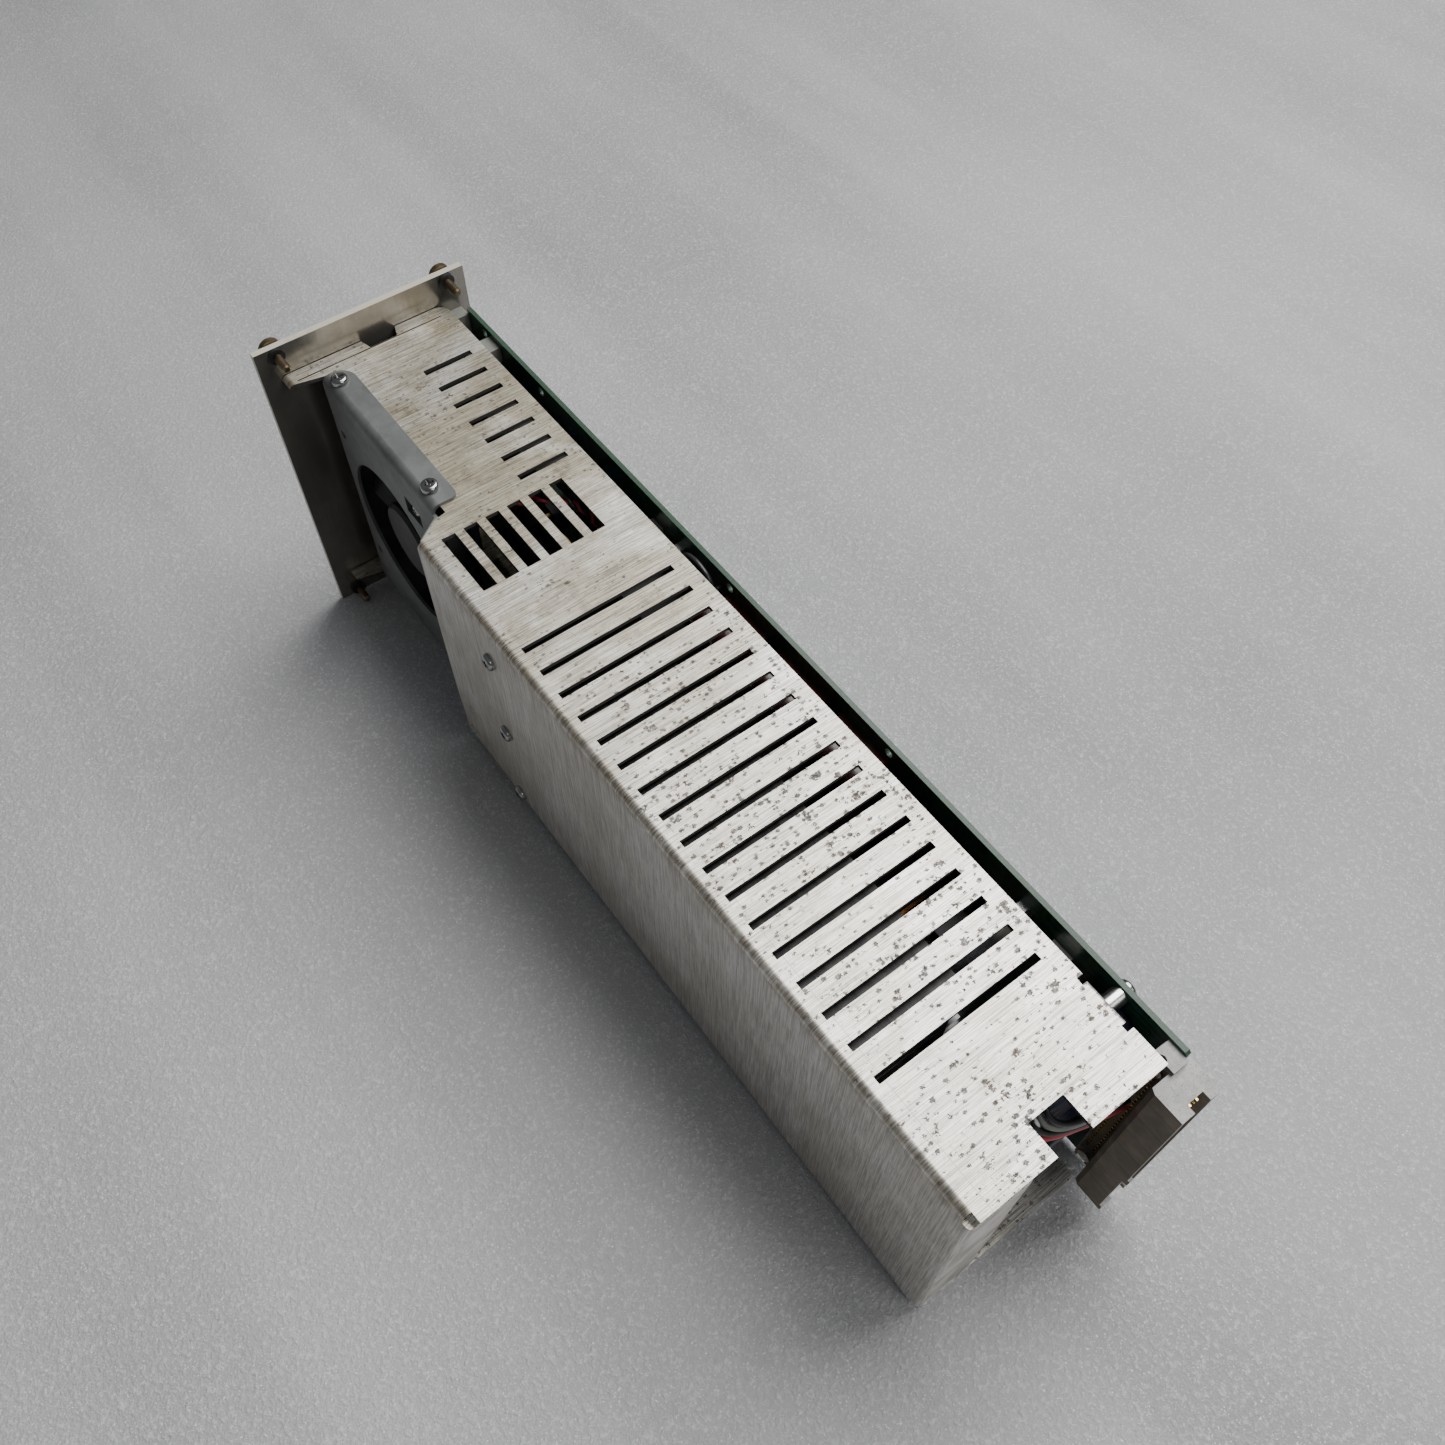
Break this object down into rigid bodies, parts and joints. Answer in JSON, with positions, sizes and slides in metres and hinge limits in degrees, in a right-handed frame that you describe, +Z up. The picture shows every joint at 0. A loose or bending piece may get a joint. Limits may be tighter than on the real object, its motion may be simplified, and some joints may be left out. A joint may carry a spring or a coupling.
{
  "type": "rack-mounted servo drive",
  "caption": "Plug-in servo drive module: narrow rack panel on a long folded sheet case with slots, fan recess, side circuit board and rear plug connector.",
  "frame": {"origin": "bottom centre of the whole object, level with the lowest point of the lower panel screws", "axes": "+X towards the plain side of the case, where the fan is; +Y from the front panel towards the rear connector; +Z up along the panel"},
  "size_m": [0.081, 0.3714, 0.1305],
  "materials": {
    "panel_aluminium": "satin, aged, with pale painted edges",
    "case_aluminium": "bare mill finish with fine grain, stains and small corrosion spots",
    "screw_brass": "dull, tarnished",
    "galvanised_steel": "zinc plated, satin",
    "zinc_screw": "bright zinc plating",
    "bright_metal": "nickel plated",
    "black_plastic": "matt, finely grained",
    "light_grey_plastic": "satin moulded plastic",
    "connector_grey": "speckled glass-filled moulding",
    "contact_gold": "gold plated",
    "board_green": "solder mask over glass-epoxy laminate",
    "black_anodised": "black anodised, satin",
    "chip_black": "matt moulding compound",
    "capacitor_sleeve": "shrink sleeve with bare metal end",
    "film_red": "dipped epoxy",
    "relay_case": "moulded",
    "ferrite": "dark grey ferrite",
    "copper_winding": "enamelled copper",
    "fuse_ceramic": "white ceramic",
    "wire_red": "soft insulation",
    "wire_black": "soft insulation",
    "wire_yellow": "soft insulation",
    "led_resin": "tinted resin",
    "trimmer_blue": "moulded",
    "button_red": "moulded"
  },
  "bodies": {
    "chassis": {"board_blocks": "light_grey_plastic", "board_connectors": "black_plastic", "board_jumper": "wire_black", "board_screws": "zinc_screw", "board_standoffs": "bright_metal", "bracket_screws": "zinc_screw", "bulk_capacitors": "capacitor_sleeve", "card_holders": "light_grey_plastic", "choke_core": "ferrite", "choke_winding": "copper_winding", "connector_rivets": "bright_metal", "control_board": "board_green", "control_ics": "chip_black", "driver_ics": "chip_black", "earth_screw": "zinc_screw", "encoder_insert": "black_plastic", "encoder_shell": "bright_metal", "fan_bearing": "screw_brass", "fan_bracket": "galvanised_steel", "fan_frame": "black_plastic", "fan_header": "light_grey_plastic", "fan_lead_black": "wire_black", "fan_lead_red": "wire_red", "fan_screws": "zinc_screw", "fan_stator": "copper_winding", "film_capacitors": "film_red", "front_board": "board_green", "front_panel": "panel_aluminium", "fuses": "fuse_ceramic", "heatsink": "black_anodised", "heatsink_posts": "bright_metal", "heatsink_spacers": "bright_metal", "housing": "case_aluminium", "jackscrews": "bright_metal", "main_board": "board_green", "panel_angles": "case_aluminium", "power_transistors": "chip_black", "rear_connector_body": "connector_grey", "rear_connector_contacts": "contact_gold", "relays": "relay_case", "reset_switch": "chip_black", "screw_retainers": "black_plastic", "sensor_lead": "wire_yellow", "serial_insert": "black_plastic", "serial_shell": "bright_metal", "side_rivets": "bright_metal", "side_screws": "zinc_screw", "status_leds": "led_resin", "transformer": "ferrite", "transistor_screws": "zinc_screw", "trimmer_bodies": "trimmer_blue"},
    "captive_screw_bottom_left": {"captive_screw_bottom_left": "screw_brass"},
    "captive_screw_bottom_right": {"captive_screw_bottom_right": "screw_brass"},
    "captive_screw_top_left": {"captive_screw_top_left": "screw_brass"},
    "captive_screw_top_right": {"captive_screw_top_right": "screw_brass"},
    "fan_rotor": {"fan_rotor": "black_plastic"},
    "reset_button": {"reset_button": "button_red"},
    "trimmer_screw_1": {"trimmer_screw_1": "screw_brass"},
    "trimmer_screw_2": {"trimmer_screw_2": "screw_brass"},
    "trimmer_screw_3": {"trimmer_screw_3": "screw_brass"}
  },
  "joints": [
    {"name": "captive_screw_top_right_turn", "type": "hinge", "parent": "chassis", "child": "captive_screw_top_right", "pos_m": [0.03302, -0.1771, 0.1265], "axis": [0, 1, 0], "continuous": true},
    {"name": "captive_screw_top_left_turn", "type": "hinge", "parent": "chassis", "child": "captive_screw_top_left", "pos_m": [-0.03302, -0.1771, 0.1265], "axis": [0, 1, 0], "continuous": true},
    {"name": "captive_screw_bottom_right_turn", "type": "hinge", "parent": "chassis", "child": "captive_screw_bottom_right", "pos_m": [0.03302, -0.1771, 0.004], "axis": [0, 1, 0], "continuous": true},
    {"name": "captive_screw_bottom_left_turn", "type": "hinge", "parent": "chassis", "child": "captive_screw_bottom_left", "pos_m": [-0.03302, -0.1771, 0.004], "axis": [0, 1, 0], "continuous": true},
    {"name": "fan_spin", "type": "hinge", "parent": "chassis", "child": "fan_rotor", "pos_m": [0.0145, -0.1314, 0.06525], "axis": [1, 0, 0], "continuous": true},
    {"name": "trimmer_screw_1_turn", "type": "hinge", "parent": "chassis", "child": "trimmer_screw_1", "pos_m": [-0.003, -0.1745, 0.07325], "axis": [0, 1, 0], "range_deg": [-135, 135]},
    {"name": "trimmer_screw_2_turn", "type": "hinge", "parent": "chassis", "child": "trimmer_screw_2", "pos_m": [-0.003, -0.1745, 0.06425], "axis": [0, 1, 0], "range_deg": [-135, 135]},
    {"name": "trimmer_screw_3_turn", "type": "hinge", "parent": "chassis", "child": "trimmer_screw_3", "pos_m": [-0.003, -0.1745, 0.05525], "axis": [0, 1, 0], "range_deg": [-135, 135]},
    {"name": "reset_button_press", "type": "slide", "parent": "chassis", "child": "reset_button", "axis": [0, 1, 0], "range_m": [0, 0.0008], "stiffness_N_per_m": 400, "springref_m": -0.0006}
  ]
}
